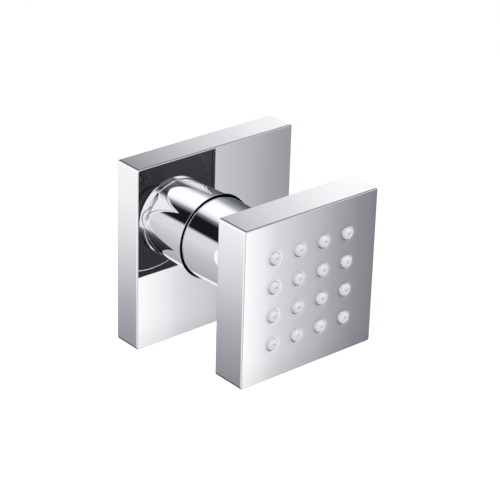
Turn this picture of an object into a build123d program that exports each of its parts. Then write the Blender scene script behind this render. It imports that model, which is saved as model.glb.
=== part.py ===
from build123d import *
import os
from math import acos, asin, cos, degrees, radians, sin, sqrt, tan

# Shower body jet: a square wall flange, a round neck that holds a ball joint, and a square
# spray head with soft nozzles. Lengths are in millimetres, angles in degrees.
# The wall is the plane Y = 0, +Z is up, and the water leaves along -Y. A station is a distance
# in front of the wall along that axis; behind the wall it is negative.

# Wall flange
flange_width = 60.0
flange_depth = 10.0
flange_wall = 1.2
flange_face = 1.6
flange_edge = 0.6
flange_hole_gap = 0.5
flange_hole_edge = 0.2
backing_gap = 0.1
gasket_thickness = 1.5
gasket_hole_gap = 0.4

# Neck, seen between the flange and the head
neck_diameter = 26.7
neck_length = 18.7
neck_end_diameter = 25.4
neck_wall = 1.25
flat_across = 23.3
flat_length = 1.5
flat_angle = 30.0

# Threaded tail behind the wall, with its filter and flow regulator
tail_diameter = 20.955
tail_length = 13.0
tail_chamfer = 1.0
tail_relief = 0.5
tail_pocket_diameter = 13.6
tail_pocket_depth = 9.0
water_diameter = 7.0
filter_thickness = 0.5
filter_hole_diameter = 1.2
regulator_hole_diameter = 3.2
regulator_depth = 7.0

# Ball joint
ball_setback = 6.7
seat_thickness = 1.65
skirt_wall = 1.15
running_gap = 0.05
thread_gap = 0.05
swing_angle = 10.0
swing_margin = 3.0
stem_diameter = 10.0
stem_bore = 5.0
front_ring_rear_angle = 74.0
rear_ring_front_angle = 112.0
rear_ring_rear_angle = 150.0

# Retainer nut that closes the neck
collar_diameter = 25.9
collar_thickness = 2.4
collar_edge = 0.25
spanner_hole_diameter = 1.6
spanner_hole_depth = 1.4

# Spray head
head_gap = 32.0
head_width = 51.0
head_depth = 12.0
head_wall = 1.2
head_face = 1.6
head_edge = 0.5
head_rear_edge = 0.25
cover_gap = 0.1
cover_inset = 0.2
cover_thickness = 3.0
disc_rim = 0.9
disc_height = 1.0
disc_round = 0.8
chamber_wall = 1.6
post_margin = 3.6
post_diameter = 5.8

# Nozzles and what feeds them
nozzle_rows = 4
nozzle_pitch = 9.33
nozzle_diameter = 3.6
nozzle_reach = 1.0
nozzle_round = 0.8
nozzle_gap = 0.15
nozzle_bore = 2.0
nozzle_tip_wall = 0.9
orifice_diameter = 0.9
hole_edge = 0.2
mat_thickness = 1.4
mat_gap = 0.3
spray_plate_thickness = 1.5
feed_hole_diameter = 1.8
seal_thickness = 1.0

# Where the stem is fastened in the head
stem_flange_diameter = 12.5
stem_flange_thickness = 1.7
stem_washer_thickness = 0.8
spigot_diameter = 9.0
nut_across_flats = 13.0
nut_thickness = 2.6

# Sealing rings, each given by the thickness of its section
flange_ring_section = 1.8
tail_ring_section = 2.2
regulator_ring_section = 1.4
seat_ring_section = 1.5
ball_ring_section = 1.0
ring_gap = 0.02

# Radii and stations that follow from the sizes above
neck_radius = neck_diameter / 2
tail_radius = tail_diameter / 2
pocket_radius = tail_pocket_diameter / 2
water_radius = water_diameter / 2
stem_radius = stem_diameter / 2
spigot_radius = spigot_diameter / 2
bore_radius = flat_across / 2 - neck_wall
skirt_radius = bore_radius - thread_gap
seat_radius = bore_radius - skirt_wall
ring_outer = seat_radius - running_gap
ring_inner = ring_outer - seat_thickness
ball_radius = ring_inner - running_gap

neck_back = tail_ring_section
neck_end = flange_depth + neck_length
collar_front = neck_end + collar_thickness
ball_station = neck_end - ball_setback
pocket_front = tail_pocket_depth - tail_length
filter_back = pocket_front - regulator_depth - filter_thickness

head_back = flange_depth + head_gap
head_front = head_back + head_depth
head_inside = head_front - head_face
mat_back = head_inside - mat_thickness
spray_back = mat_back - spray_plate_thickness
seal_back = spray_back - seal_thickness
cover_back = head_back + cover_inset
cover_front = cover_back + cover_thickness
disc_back = cover_back - disc_height
stem_flange_front = disc_back - stem_washer_thickness
stem_flange_back = stem_flange_front - stem_flange_thickness
spigot_end = cover_front + nut_thickness

cover_width = head_width - 2 * (head_wall + cover_gap)
disc_radius = cover_width / 2 - disc_rim
post_spacing = cover_width - 2 * post_margin
chamber_outer = cover_width / 2
chamber_inner = chamber_outer - chamber_wall
mat_radius = cover_width / 2 - mat_gap
swing_limit = degrees(acos(cos(radians(swing_angle)) ** 2))

# Half sections are drawn with the radius across and the station upwards
section = Plane(origin=(0, 0, 0), x_dir=(1, 0, 0), z_dir=(0, 0, -1))
spray_axis = Axis.Y


def facing(station):
    """Plane square to the spray axis at a station, looking at the user."""
    return Plane.XZ.offset(station)


def sealing_ring(label, centre_radius, station, thickness):
    """Ring of round section about the spray axis."""
    with BuildPart() as ring:
        with BuildSketch(section):
            with Locations((centre_radius, station)):
                Circle(thickness / 2)
        revolve(axis=spray_axis)
    ring.part.label = label
    return ring.part


def seat_ring(label, front_angle, rear_angle, groove=None):
    """Liner of the ball, round inside and outside about the ball's centre.

    The angles are measured at the ball's centre from the spray direction. A groove is the centre
    radius, station and thickness of the sealing ring that lies in the liner's inner face.
    """
    with BuildPart() as ring:
        with BuildSketch(section):
            with BuildLine():
                spread = rear_angle - front_angle
                inner = CenterArc((0, ball_station), ring_inner, 90 - rear_angle, spread)
                outer = CenterArc((0, ball_station), ring_outer, 90 - rear_angle, spread)
                Line(inner @ 0, outer @ 0)
                Line(inner @ 1, outer @ 1)
            make_face()
        revolve(axis=spray_axis)
        if groove:
            with BuildSketch(section):
                with Locations((groove[0], groove[1])):
                    Circle(groove[2] / 2 + ring_gap)
            revolve(axis=spray_axis, mode=Mode.SUBTRACT)
    ring.part.label = label
    return ring.part


def on_sphere(radius, angle):
    """Radius and station of a point at an angle from the spray direction about the ball's centre."""
    return (radius * sin(radians(angle)), ball_station + radius * cos(radians(angle)))


os.makedirs("parts", exist_ok=True)

# Wall flange: a square shell, open behind, with a round hole for the neck
flange_hole_radius = neck_radius + flange_hole_gap
with BuildPart() as wall_flange:
    with BuildSketch(facing(0)):
        Rectangle(flange_width, flange_width)
    extrude(amount=flange_depth)
    flange_front_edges = wall_flange.faces().sort_by(Axis.Y)[0].edges()
    fillet(wall_flange.edges().filter_by(Axis.Y) + flange_front_edges, radius=flange_edge)
    with BuildSketch(facing(0)):
        Rectangle(flange_width - 2 * flange_wall, flange_width - 2 * flange_wall)
    extrude(amount=flange_depth - flange_face, mode=Mode.SUBTRACT)
    with BuildSketch(facing(0)):
        Circle(flange_hole_radius)
    extrude(amount=flange_depth, mode=Mode.SUBTRACT)
    flange_hole_rim = wall_flange.faces().sort_by(Axis.Y)[0].edges().filter_by(GeomType.CIRCLE)
    fillet(flange_hole_rim, radius=flange_hole_edge)
wall_flange.part.label = "wall_flange"
export_step(wall_flange.part, "parts/wall_flange.step")

# Backing: the block inside the flange that guides it on the neck and seats its sealing ring
backing_width = flange_width - 2 * (flange_wall + backing_gap)
backing_front = flange_depth - flange_face
with BuildPart() as flange_backing:
    with BuildSketch(facing(gasket_thickness)):
        Rectangle(backing_width, backing_width)
        Circle(neck_radius + backing_gap, mode=Mode.SUBTRACT)
    extrude(amount=backing_front - gasket_thickness)
    with BuildSketch(facing(backing_front)):
        Circle(neck_radius + flange_ring_section + 2 * ring_gap)
    extrude(amount=-flange_ring_section - ring_gap, mode=Mode.SUBTRACT)
flange_backing.part.label = "flange_backing"
export_step(flange_backing.part, "parts/flange_backing.step")

# Gasket: a square sheet between the backing and the wall
with BuildPart() as wall_gasket:
    with BuildSketch(facing(0)):
        Rectangle(backing_width, backing_width)
        Circle(neck_radius + gasket_hole_gap, mode=Mode.SUBTRACT)
    extrude(amount=gasket_thickness)
wall_gasket.part.label = "wall_gasket"
export_step(wall_gasket.part, "parts/wall_gasket.step")

# Sealing ring between the flange and the neck, seen as the black line round the neck
flange_ring_radius = neck_radius + flange_ring_section / 2 + ring_gap
flange_ring_station = backing_front - flange_ring_section / 2
flange_ring = sealing_ring("flange_ring", flange_ring_radius, flange_ring_station, flange_ring_section)
export_step(flange_ring, "parts/flange_ring.step")

# Inlet body: one turned piece from the threaded tail to the neck, which tapers in front of the flange
seat_ring_centre = on_sphere(ring_outer + seat_ring_section / 2 + ring_gap, 130.0)
with BuildPart() as inlet_body:
    with BuildSketch(section):
        with BuildLine():
            seat = CenterArc((0, ball_station), seat_radius, 0, -degrees(acos(water_radius / seat_radius)))
            Polyline(
                seat @ 1,
                (water_radius, pocket_front),
                (pocket_radius, pocket_front),
                (pocket_radius, -tail_length),
                (tail_radius - tail_chamfer, -tail_length),
                (tail_radius, tail_chamfer - tail_length),
                (tail_radius, 0),
                (tail_radius - tail_relief, 0),
                (tail_radius - tail_relief, neck_back),
                (neck_radius, neck_back),
                (neck_radius, flange_depth),
                (neck_end_diameter / 2, neck_end),
                (bore_radius, neck_end),
                (bore_radius, ball_station),
                seat @ 0,
            )
        make_face()
    revolve(axis=spray_axis)
    with BuildSketch(section):
        with Locations(seat_ring_centre):
            Circle(seat_ring_section / 2 + ring_gap)
    revolve(axis=spray_axis, mode=Mode.SUBTRACT)
    with BuildSketch(facing(neck_end)):
        with PolarLocations(flat_across / 2 + neck_radius, 2, start_angle=180 - flat_angle):
            Rectangle(neck_diameter, neck_diameter)
    extrude(amount=-flat_length, mode=Mode.SUBTRACT)
inlet_body.part.label = "inlet_body"
export_step(inlet_body.part, "parts/inlet_body.step")

# Sealing ring under the neck's shoulder, pressed on the wall fitting
tail_ring_radius = tail_radius - tail_relief + tail_ring_section / 2 + ring_gap
tail_ring = sealing_ring("tail_ring", tail_ring_radius, tail_ring_section / 2, tail_ring_section)
export_step(tail_ring, "parts/tail_ring.step")

# Filter: a pierced disc in the mouth of the tail
filter_radius = pocket_radius - thread_gap
with BuildPart() as inlet_filter:
    with BuildSketch(facing(filter_back)):
        Circle(filter_radius)
        Circle(filter_hole_diameter / 2, mode=Mode.SUBTRACT)
        with PolarLocations(filter_radius * 0.36, 6):
            Circle(filter_hole_diameter / 2, mode=Mode.SUBTRACT)
        with PolarLocations(filter_radius * 0.72, 12):
            Circle(filter_hole_diameter / 2, mode=Mode.SUBTRACT)
    extrude(amount=filter_thickness)
inlet_filter.part.label = "inlet_filter"
export_step(inlet_filter.part, "parts/inlet_filter.step")

# Flow regulator: a plug with a small hole and a groove for its sealing ring
regulator_back = pocket_front - regulator_depth
groove_middle = pocket_front - regulator_depth / 2
groove_half = regulator_ring_section / 2 + ring_gap
groove_floor = filter_radius - regulator_ring_section
with BuildPart() as flow_regulator:
    with BuildSketch(section):
        with BuildLine():
            Polyline(
                (regulator_hole_diameter / 2, regulator_back + regulator_depth / 2),
                (pocket_radius / 2, regulator_back),
                (filter_radius, regulator_back),
                (filter_radius, groove_middle - groove_half),
                (groove_floor, groove_middle - groove_half),
                (groove_floor, groove_middle + groove_half),
                (filter_radius, groove_middle + groove_half),
                (filter_radius, pocket_front),
                (regulator_hole_diameter / 2, pocket_front),
                close=True,
            )
        make_face()
    revolve(axis=spray_axis)
flow_regulator.part.label = "flow_regulator"
export_step(flow_regulator.part, "parts/flow_regulator.step")

# Sealing ring of the flow regulator
regulator_ring_radius = groove_floor + regulator_ring_section / 2 + ring_gap
regulator_ring = sealing_ring("regulator_ring", regulator_ring_radius, groove_middle, regulator_ring_section)
export_step(regulator_ring, "parts/regulator_ring.step")

# Sealing ring in the neck, under the rear liner of the ball
seat_seal = sealing_ring("seat_seal", seat_ring_centre[0], seat_ring_centre[1], seat_ring_section)
export_step(seat_seal, "parts/seat_seal.step")

# Rear liner of the ball, with the sealing ring that lies on the ball
ball_ring_centre = on_sphere(ball_radius + ball_ring_section / 2 + ring_gap, 128.0)
ball_ring_groove = (ball_ring_centre[0], ball_ring_centre[1], ball_ring_section)
rear_liner = seat_ring("rear_liner", rear_ring_front_angle, rear_ring_rear_angle, ball_ring_groove)
export_step(rear_liner, "parts/rear_liner.step")
ball_seal = sealing_ring("ball_seal", ball_ring_centre[0], ball_ring_centre[1], ball_ring_section)
export_step(ball_seal, "parts/ball_seal.step")

# Front liner of the ball, which leaves room for the stem
front_ring_front_angle = degrees(asin((stem_radius + mat_gap) / ring_inner))
front_liner = seat_ring("front_liner", front_ring_front_angle, front_ring_rear_angle)
export_step(front_liner, "parts/front_liner.step")

# Retainer nut: its skirt screws into the neck, its collar closes the neck's end
skirt_back = ball_station + running_gap
throat_angle = degrees(asin(stem_radius / seat_radius)) + swing_limit + swing_margin
throat_reach = (collar_front - ball_station) * tan(radians(swing_limit + swing_margin))
mouth_radius = throat_reach + stem_radius / cos(radians(swing_limit))
skirt_start = degrees(asin(running_gap / seat_radius))
collar_radius = collar_diameter / 2
with BuildPart() as retainer_nut:
    with BuildSketch(section):
        with BuildLine():
            seat = CenterArc((0, ball_station), seat_radius, skirt_start, 90 - throat_angle - skirt_start)
            Polyline(
                seat @ 1,
                (mouth_radius, collar_front),
                (collar_radius - collar_edge, collar_front),
                (collar_radius, collar_front - collar_edge),
                (collar_radius, neck_end),
                (skirt_radius, neck_end),
                (skirt_radius, skirt_back),
                seat @ 0,
            )
        make_face()
    revolve(axis=spray_axis)
    with BuildSketch(facing(collar_front)):
        with PolarLocations((mouth_radius + collar_radius) / 2, 4):
            Circle(spanner_hole_diameter / 2)
    extrude(amount=-spanner_hole_depth, mode=Mode.SUBTRACT)
retainer_nut.part.label = "retainer_nut"
export_step(retainer_nut.part, "parts/retainer_nut.step")

# Swivel ball: ball, stem, flange and spigot in one piece, with the water's way through it
stem_bore_radius = stem_bore / 2
with BuildPart() as swivel_ball:
    with BuildSketch(section):
        with BuildLine():
            rear = -degrees(acos(stem_bore_radius / ball_radius))
            front = degrees(acos(stem_radius / ball_radius))
            ball = CenterArc((0, ball_station), ball_radius, rear, front - rear)
            Polyline(
                ball @ 1,
                (stem_radius, stem_flange_back),
                (stem_flange_diameter / 2, stem_flange_back),
                (stem_flange_diameter / 2, stem_flange_front),
                (spigot_radius, stem_flange_front),
                (spigot_radius, spigot_end),
                (stem_bore_radius, spigot_end),
                ball @ 0,
            )
        make_face()
    revolve(axis=spray_axis)
swivel_ball.part.label = "swivel_ball"
export_step(swivel_ball.part, "parts/swivel_ball.step")

# Washer between the stem's flange and the head's cover
with BuildPart() as stem_washer:
    with BuildSketch(facing(stem_flange_front)):
        Circle(stem_flange_diameter / 2)
        Circle(spigot_radius + thread_gap, mode=Mode.SUBTRACT)
    extrude(amount=stem_washer_thickness)
stem_washer.part.label = "stem_washer"
export_step(stem_washer.part, "parts/stem_washer.step")

# Nut that pulls the stem's flange against the cover
with BuildPart() as stem_nut:
    with BuildSketch(facing(cover_front)):
        RegularPolygon(nut_across_flats / 2, 6, major_radius=False)
        Circle(spigot_radius + thread_gap, mode=Mode.SUBTRACT)
    extrude(amount=nut_thickness)
stem_nut.part.label = "stem_nut"
export_step(stem_nut.part, "parts/stem_nut.step")

# Head cover: the square back of the head, with a raised round disc behind and a round chamber in front
with BuildPart() as head_cover:
    with BuildSketch(facing(cover_back)):
        Rectangle(cover_width, cover_width)
    extrude(amount=cover_thickness)
    with BuildSketch(facing(cover_back)):
        Circle(disc_radius)
    extrude(amount=-disc_height)
    disc_edge = head_cover.edges(Select.LAST).filter_by(GeomType.CIRCLE).sort_by(Axis.Y)[-1]
    fillet(disc_edge, radius=disc_round)
    with BuildSketch(facing(cover_front)):
        Circle(chamber_outer)
        Circle(chamber_inner, mode=Mode.SUBTRACT)
    extrude(amount=seal_back - cover_front)
    with BuildSketch(facing(disc_back)):
        Circle(spigot_radius + thread_gap)
    extrude(amount=cover_front - disc_back, mode=Mode.SUBTRACT)
head_cover.part.label = "head_cover"
export_step(head_cover.part, "parts/head_cover.step")

# Seal between the chamber's wall and the spray plate
with BuildPart() as chamber_seal:
    with BuildSketch(facing(seal_back)):
        Circle(chamber_outer - mat_gap)
        Circle(chamber_inner, mode=Mode.SUBTRACT)
    extrude(amount=seal_thickness)
chamber_seal.part.label = "chamber_seal"
export_step(chamber_seal.part, "parts/chamber_seal.step")

# Spray plate: a disc that feeds each nozzle through its own hole
nozzle_places = GridLocations(nozzle_pitch, nozzle_pitch, nozzle_rows, nozzle_rows)
with BuildPart() as spray_plate:
    with BuildSketch(facing(spray_back)):
        Circle(mat_radius)
        with nozzle_places:
            Circle(feed_hole_diameter / 2, mode=Mode.SUBTRACT)
    extrude(amount=spray_plate_thickness)
spray_plate.part.label = "spray_plate"
export_step(spray_plate.part, "parts/spray_plate.step")

# Nozzle mat: one soft moulding with a round-nosed nozzle for each hole of the head
nozzle_tip = head_front + nozzle_reach
with BuildPart() as nozzle_mat:
    with BuildSketch(facing(mat_back)):
        Circle(mat_radius)
    extrude(amount=mat_thickness)
    with BuildSketch(facing(head_inside)):
        with nozzle_places:
            Circle(nozzle_diameter / 2)
    extrude(amount=nozzle_tip - head_inside)
    nozzle_noses = nozzle_mat.edges().filter_by(GeomType.CIRCLE).group_by(Axis.Y)[0]
    fillet(nozzle_noses, radius=nozzle_round)
    with BuildSketch(facing(mat_back)):
        with nozzle_places:
            Circle(nozzle_bore / 2)
    extrude(amount=nozzle_tip - nozzle_tip_wall - mat_back, mode=Mode.SUBTRACT)
    with BuildSketch(facing(mat_back)):
        with nozzle_places:
            Circle(orifice_diameter / 2)
    extrude(amount=nozzle_tip - mat_back, mode=Mode.SUBTRACT)
nozzle_mat.part.label = "nozzle_mat"
export_step(nozzle_mat.part, "parts/nozzle_mat.step")

# Head shell: a square cap with the nozzle holes in its face and a post in each corner for the cover
post_places = GridLocations(post_spacing, post_spacing, 2, 2)
with BuildPart() as head_shell:
    with BuildSketch(facing(head_back)):
        Rectangle(head_width, head_width)
    extrude(amount=head_depth)
    head_front_edges = head_shell.faces().sort_by(Axis.Y)[0].edges()
    fillet(head_shell.edges().filter_by(Axis.Y) + head_front_edges, radius=head_edge)
    head_rear_edges = head_shell.faces().sort_by(Axis.Y)[-1].edges()
    fillet(head_rear_edges, radius=head_rear_edge)
    with BuildSketch(facing(head_back)):
        Rectangle(head_width - 2 * head_wall, head_width - 2 * head_wall)
    extrude(amount=head_depth - head_face, mode=Mode.SUBTRACT)
    with BuildSketch(facing(cover_front)):
        with post_places:
            Circle(post_diameter / 2)
    extrude(amount=head_inside - cover_front)
    with BuildSketch(facing(head_inside)):
        with nozzle_places:
            Circle(nozzle_diameter / 2 + nozzle_gap)
    extrude(amount=head_face, mode=Mode.SUBTRACT)
    hole_rims = head_shell.faces().sort_by(Axis.Y)[0].edges().filter_by(GeomType.CIRCLE)
    chamfer(hole_rims, length=hole_edge)
head_shell.part.label = "head_shell"
export_step(head_shell.part, "parts/head_shell.step")
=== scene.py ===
"""Looks of a square shower body jet: polished chrome, dark plastic, rubber and soft silicone."""
import logging
import math
from dataclasses import dataclass, replace
from enum import Enum
from typing import Optional, Sequence

import bmesh
import bpy
from mathutils import Matrix, Vector


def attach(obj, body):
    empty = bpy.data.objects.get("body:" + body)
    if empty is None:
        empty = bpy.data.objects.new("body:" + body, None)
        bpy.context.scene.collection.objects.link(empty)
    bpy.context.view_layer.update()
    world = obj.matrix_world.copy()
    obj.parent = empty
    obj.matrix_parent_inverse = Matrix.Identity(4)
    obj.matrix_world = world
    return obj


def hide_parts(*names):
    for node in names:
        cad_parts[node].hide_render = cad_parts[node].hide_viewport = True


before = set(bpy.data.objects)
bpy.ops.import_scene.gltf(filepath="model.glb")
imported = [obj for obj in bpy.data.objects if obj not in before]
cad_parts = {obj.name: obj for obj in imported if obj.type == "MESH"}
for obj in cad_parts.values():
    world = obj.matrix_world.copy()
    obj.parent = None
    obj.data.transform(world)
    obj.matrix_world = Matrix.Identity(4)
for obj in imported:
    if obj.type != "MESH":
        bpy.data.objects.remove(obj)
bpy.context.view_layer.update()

LOG = logging.getLogger("body_jet")
MM = 0.001
FULL_TURN = 2.0 * math.pi
WELD = 1e-7
SLIVER = 1e-8
ROUND = 2.0

Colour = tuple[float, float, float]
Mesh = bmesh.types.BMesh
Loop = list[bmesh.types.BMVert]
Row = tuple[float, Sequence[float]]
Node = bpy.types.Node
Socket = bpy.types.NodeSocket
Tree = bpy.types.NodeTree

WHITE: Colour = (1.0, 1.0, 1.0)
BLACK: Colour = (0.0, 0.0, 0.0)
SOFT_LIGHT: Colour = (0.55, 0.555, 0.56)
AHEAD_GREY: Colour = (0.64, 0.645, 0.655)
CEILING_GREY: Colour = (0.162, 0.167, 0.183)
OVERHEAD_GREY: Colour = (0.62, 0.63, 0.65)
SIDE_GREY: Colour = (0.042, 0.0445, 0.0505)
DEEP_GREY: Colour = (0.042, 0.044, 0.0495)
FLOOR_PAINT: Colour = (0.86, 0.86, 0.86)


class Effect(Enum):
    """Shared surface effects, each one a shader node group."""

    POLISH = "polish_marks"
    GRAIN = "mould_grain"
    TURNING = "turning_lines"
    DISH = "dished_face"


class Body(Enum):
    """The rigid bodies that the built pieces ride on."""

    WALL = "wall_side"
    HEAD = "head"


class Nodes:
    """Small helper that adds and joins shader nodes in one tree."""

    def __init__(self, tree: Tree) -> None:
        """Keeps the tree that nodes are added to."""
        self.tree = tree

    def add(self, kind: str, **values: object) -> Node:
        """Adds a node and sets its plain properties.

        Args:
            kind: Blender's name of the node type.
            values: Properties of the node, by name.

        Returns:
            The new node.
        """
        node = self.tree.nodes.new(kind)
        for name, value in values.items():
            setattr(node, name, value)
        return node

    def join(self, output: Socket, target: Socket) -> None:
        """Links an output to an input."""
        self.tree.links.new(output, target)

    def split(self, vector: Socket) -> tuple[Socket, Socket, Socket]:
        """Splits a vector into its shares along X, Y and Z."""
        node = self.add("ShaderNodeSeparateXYZ")
        self.join(vector, node.inputs[0])
        return node.outputs["X"], node.outputs["Y"], node.outputs["Z"]

    def math(self, operation: str, first: object, second: object = None) -> Socket:
        """Adds a Math node fed by sockets or numbers.

        Args:
            operation: Name of the operation.
            first: Socket or number of the first input.
            second: Socket or number of the second input, if it has one.

        Returns:
            The node's output.
        """
        node = self.add("ShaderNodeMath", operation=operation)
        for index, value in enumerate((first, second)):
            if value is None:
                continue
            if isinstance(value, Socket):
                self.join(value, node.inputs[index])
            else:
                node.inputs[index].default_value = value
        return node.outputs[0]

    def span(self, value: Socket, low: float, high: float, to_low: float = 0.0,
             to_high: float = 1.0, smooth: bool = False) -> Socket:
        """Maps a value from one range to another, clamped.

        Args:
            value: Socket to map.
            low: Value that maps to to_low.
            high: Value that maps to to_high.
            to_low: Result at low.
            to_high: Result at high.
            smooth: Whether the way between is eased.

        Returns:
            The mapped value.
        """
        node = self.add("ShaderNodeMapRange", clamp=True)
        node.interpolation_type = "SMOOTHSTEP" if smooth else "LINEAR"
        self.join(value, node.inputs["Value"])
        node.inputs["From Min"].default_value = low
        node.inputs["From Max"].default_value = high
        node.inputs["To Min"].default_value = to_low
        node.inputs["To Max"].default_value = to_high
        return node.outputs["Result"]

    def ramp(self, value: Socket, stops: Sequence[tuple[float, Colour]]) -> Socket:
        """Colours a value by a ramp.

        Args:
            value: Socket between 0 and 1.
            stops: Positions and colours, in order.

        Returns:
            The colour.
        """
        node = self.add("ShaderNodeValToRGB")
        while len(node.color_ramp.elements) < len(stops):
            node.color_ramp.elements.new(0.5)
        for element, (place, colour) in zip(node.color_ramp.elements, stops):
            element.position = place
            element.color = (*colour, 1.0)
        self.join(value, node.inputs[0])
        return node.outputs[0]

    def mix(self, factor: Socket, first: object, second: object) -> Socket:
        """Mixes two colours, each a socket or three numbers.

        Args:
            factor: Share of the second colour.
            first: Colour at 0.
            second: Colour at 1.

        Returns:
            The mixed colour.
        """
        node = self.add("ShaderNodeMix", data_type="RGBA")
        self.join(factor, node.inputs[0])
        for socket, value in ((node.inputs[6], first), (node.inputs[7], second)):
            if isinstance(value, Socket):
                self.join(value, socket)
            else:
                socket.default_value = (*value, 1.0)
        return node.outputs[2]


class Effects:
    """Builds each shared effect once and places it in materials."""

    _made: dict[Effect, Tree] = {}

    @classmethod
    def place(cls, nodes: Nodes, effect: Effect, **inputs: float) -> Node:
        """Places an effect in a material, fed with places on the object.

        Args:
            nodes: Helper of the material's tree.
            effect: Which effect.
            inputs: Values of the group's inputs, by name.

        Returns:
            The group node.
        """
        if effect not in cls._made:
            cls._made[effect] = getattr(cls, "_" + effect.value)()
        group = nodes.add("ShaderNodeGroup", node_tree=cls._made[effect])
        place = nodes.add("ShaderNodeTexCoord")
        nodes.join(place.outputs["Object"], group.inputs["Place"])
        for name, value in inputs.items():
            group.inputs[name].default_value = value
        return group

    @staticmethod
    def _start(name: str, inputs: Sequence[tuple[str, float]], outputs: Sequence[str],
               kind: str = "NodeSocketFloat") -> tuple[Tree, Nodes, Node, Node]:
        """Makes an empty group with a Place input.

        Args:
            name: Name of the group.
            inputs: Names and first values of further inputs.
            outputs: Names of the outputs.
            kind: Type of the outputs.

        Returns:
            The group, its helper, its input node and its output node.
        """
        tree = bpy.data.node_groups.new(name, "ShaderNodeTree")
        tree.interface.new_socket("Place", in_out="INPUT", socket_type="NodeSocketVector")
        for label, value in inputs:
            socket = tree.interface.new_socket(label, in_out="INPUT", socket_type="NodeSocketFloat")
            socket.default_value = value
        for label in outputs:
            tree.interface.new_socket(label, in_out="OUTPUT", socket_type=kind)
        nodes = Nodes(tree)
        return tree, nodes, nodes.add("NodeGroupInput"), nodes.add("NodeGroupOutput")

    @staticmethod
    def _noise(nodes: Nodes, given: Node, scale: str, detail: float) -> Socket:
        """Adds a soft noise over the places that a group is given.

        Args:
            nodes: Helper of the group's tree.
            given: The group's input node.
            scale: Name of the group's input with the noise's scale.
            detail: Number of finer layers.

        Returns:
            The noise, about 0.5.
        """
        noise = nodes.add("ShaderNodeTexNoise", noise_dimensions="3D")
        noise.inputs["Detail"].default_value = detail
        nodes.join(given.outputs["Place"], noise.inputs["Vector"])
        nodes.join(given.outputs[scale], noise.inputs["Scale"])
        return noise.outputs["Fac"]

    @classmethod
    def _polish_marks(cls) -> Tree:
        """Broad haze of a polished and plated surface."""
        tree, nodes, given, out = cls._start("polish_marks", [("Haze Scale", 70.0)], ["Haze"])
        haze = cls._noise(nodes, given, "Haze Scale", 3.0)
        nodes.join(nodes.span(haze, 0.35, 0.68), out.inputs["Haze"])
        return tree

    @classmethod
    def _mould_grain(cls) -> Tree:
        """Fine spark grain and slow colour drift of a moulded surface."""
        scales = [("Grain Scale", 2600.0), ("Drift Scale", 90.0)]
        tree, nodes, given, out = cls._start("mould_grain", scales, ["Grain", "Drift"])
        grain = nodes.add("ShaderNodeTexVoronoi", feature="SMOOTH_F1")
        grain.inputs["Smoothness"].default_value = 0.6
        nodes.join(given.outputs["Place"], grain.inputs["Vector"])
        nodes.join(given.outputs["Grain Scale"], grain.inputs["Scale"])
        drift = cls._noise(nodes, given, "Drift Scale", 4.0)
        nodes.join(nodes.span(grain.outputs["Distance"], 0.0, 0.8), out.inputs["Grain"])
        nodes.join(nodes.span(drift, 0.3, 0.7), out.inputs["Drift"])
        return tree

    @classmethod
    def _turning_lines(cls) -> Tree:
        """Fine rings that a lathe tool leaves about the spray axis."""
        scales = [("Line Scale", 18000.0), ("Drift Scale", 160.0)]
        tree, nodes, given, out = cls._start("turning_lines", scales, ["Line", "Drift"])
        across, along, upward = nodes.split(given.outputs["Place"])
        squares = [nodes.math("POWER", share, 2.0) for share in (across, upward)]
        radius = nodes.math("SQRT", nodes.math("ADD", *squares))
        feed = nodes.math("ADD", radius, nodes.math("MULTIPLY", along, 0.83))
        wave = nodes.math("SINE", nodes.math("MULTIPLY", feed, given.outputs["Line Scale"]))
        drift = cls._noise(nodes, given, "Drift Scale", 2.0)
        nodes.join(nodes.span(wave, -1.0, 1.0), out.inputs["Line"])
        nodes.join(nodes.span(drift, 0.3, 0.7), out.inputs["Drift"])
        return tree

    @classmethod
    def _dished_face(cls) -> Tree:
        """Normal of a front face that pressing and buffing left very slightly hollow."""
        tree, nodes, given, out = cls._start("dished_face", [("Radius", 2.3)], ["Normal"], "NodeSocketVector")
        plain = nodes.add("ShaderNodeTexCoord").outputs["Normal"]
        _, facing, _ = nodes.split(plain)
        flat = nodes.span(facing, -0.9999, -0.998, 1.0, 0.0)
        lean = nodes.add("ShaderNodeVectorMath", operation="MULTIPLY_ADD")
        nodes.join(given.outputs["Place"], lean.inputs[0])
        hollow, shift = (-1.0, 0.0, 0.0), (-0.007, 0.0, 0.016)
        lean.inputs[1].default_value = hollow
        lean.inputs[2].default_value = shift
        share = nodes.add("ShaderNodeVectorMath", operation="SCALE")
        nodes.join(lean.outputs["Vector"], share.inputs[0])
        nodes.join(nodes.math("DIVIDE", flat, given.outputs["Radius"]), share.inputs["Scale"])
        total = nodes.add("ShaderNodeVectorMath", operation="ADD")
        nodes.join(plain, total.inputs[0])
        nodes.join(share.outputs["Vector"], total.inputs[1])
        turned = nodes.add("ShaderNodeVectorTransform", vector_type="NORMAL", convert_from="OBJECT",
                           convert_to="WORLD")
        nodes.join(total.outputs["Vector"], turned.inputs[0])
        nodes.join(turned.outputs[0], out.inputs["Normal"])
        return tree


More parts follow.
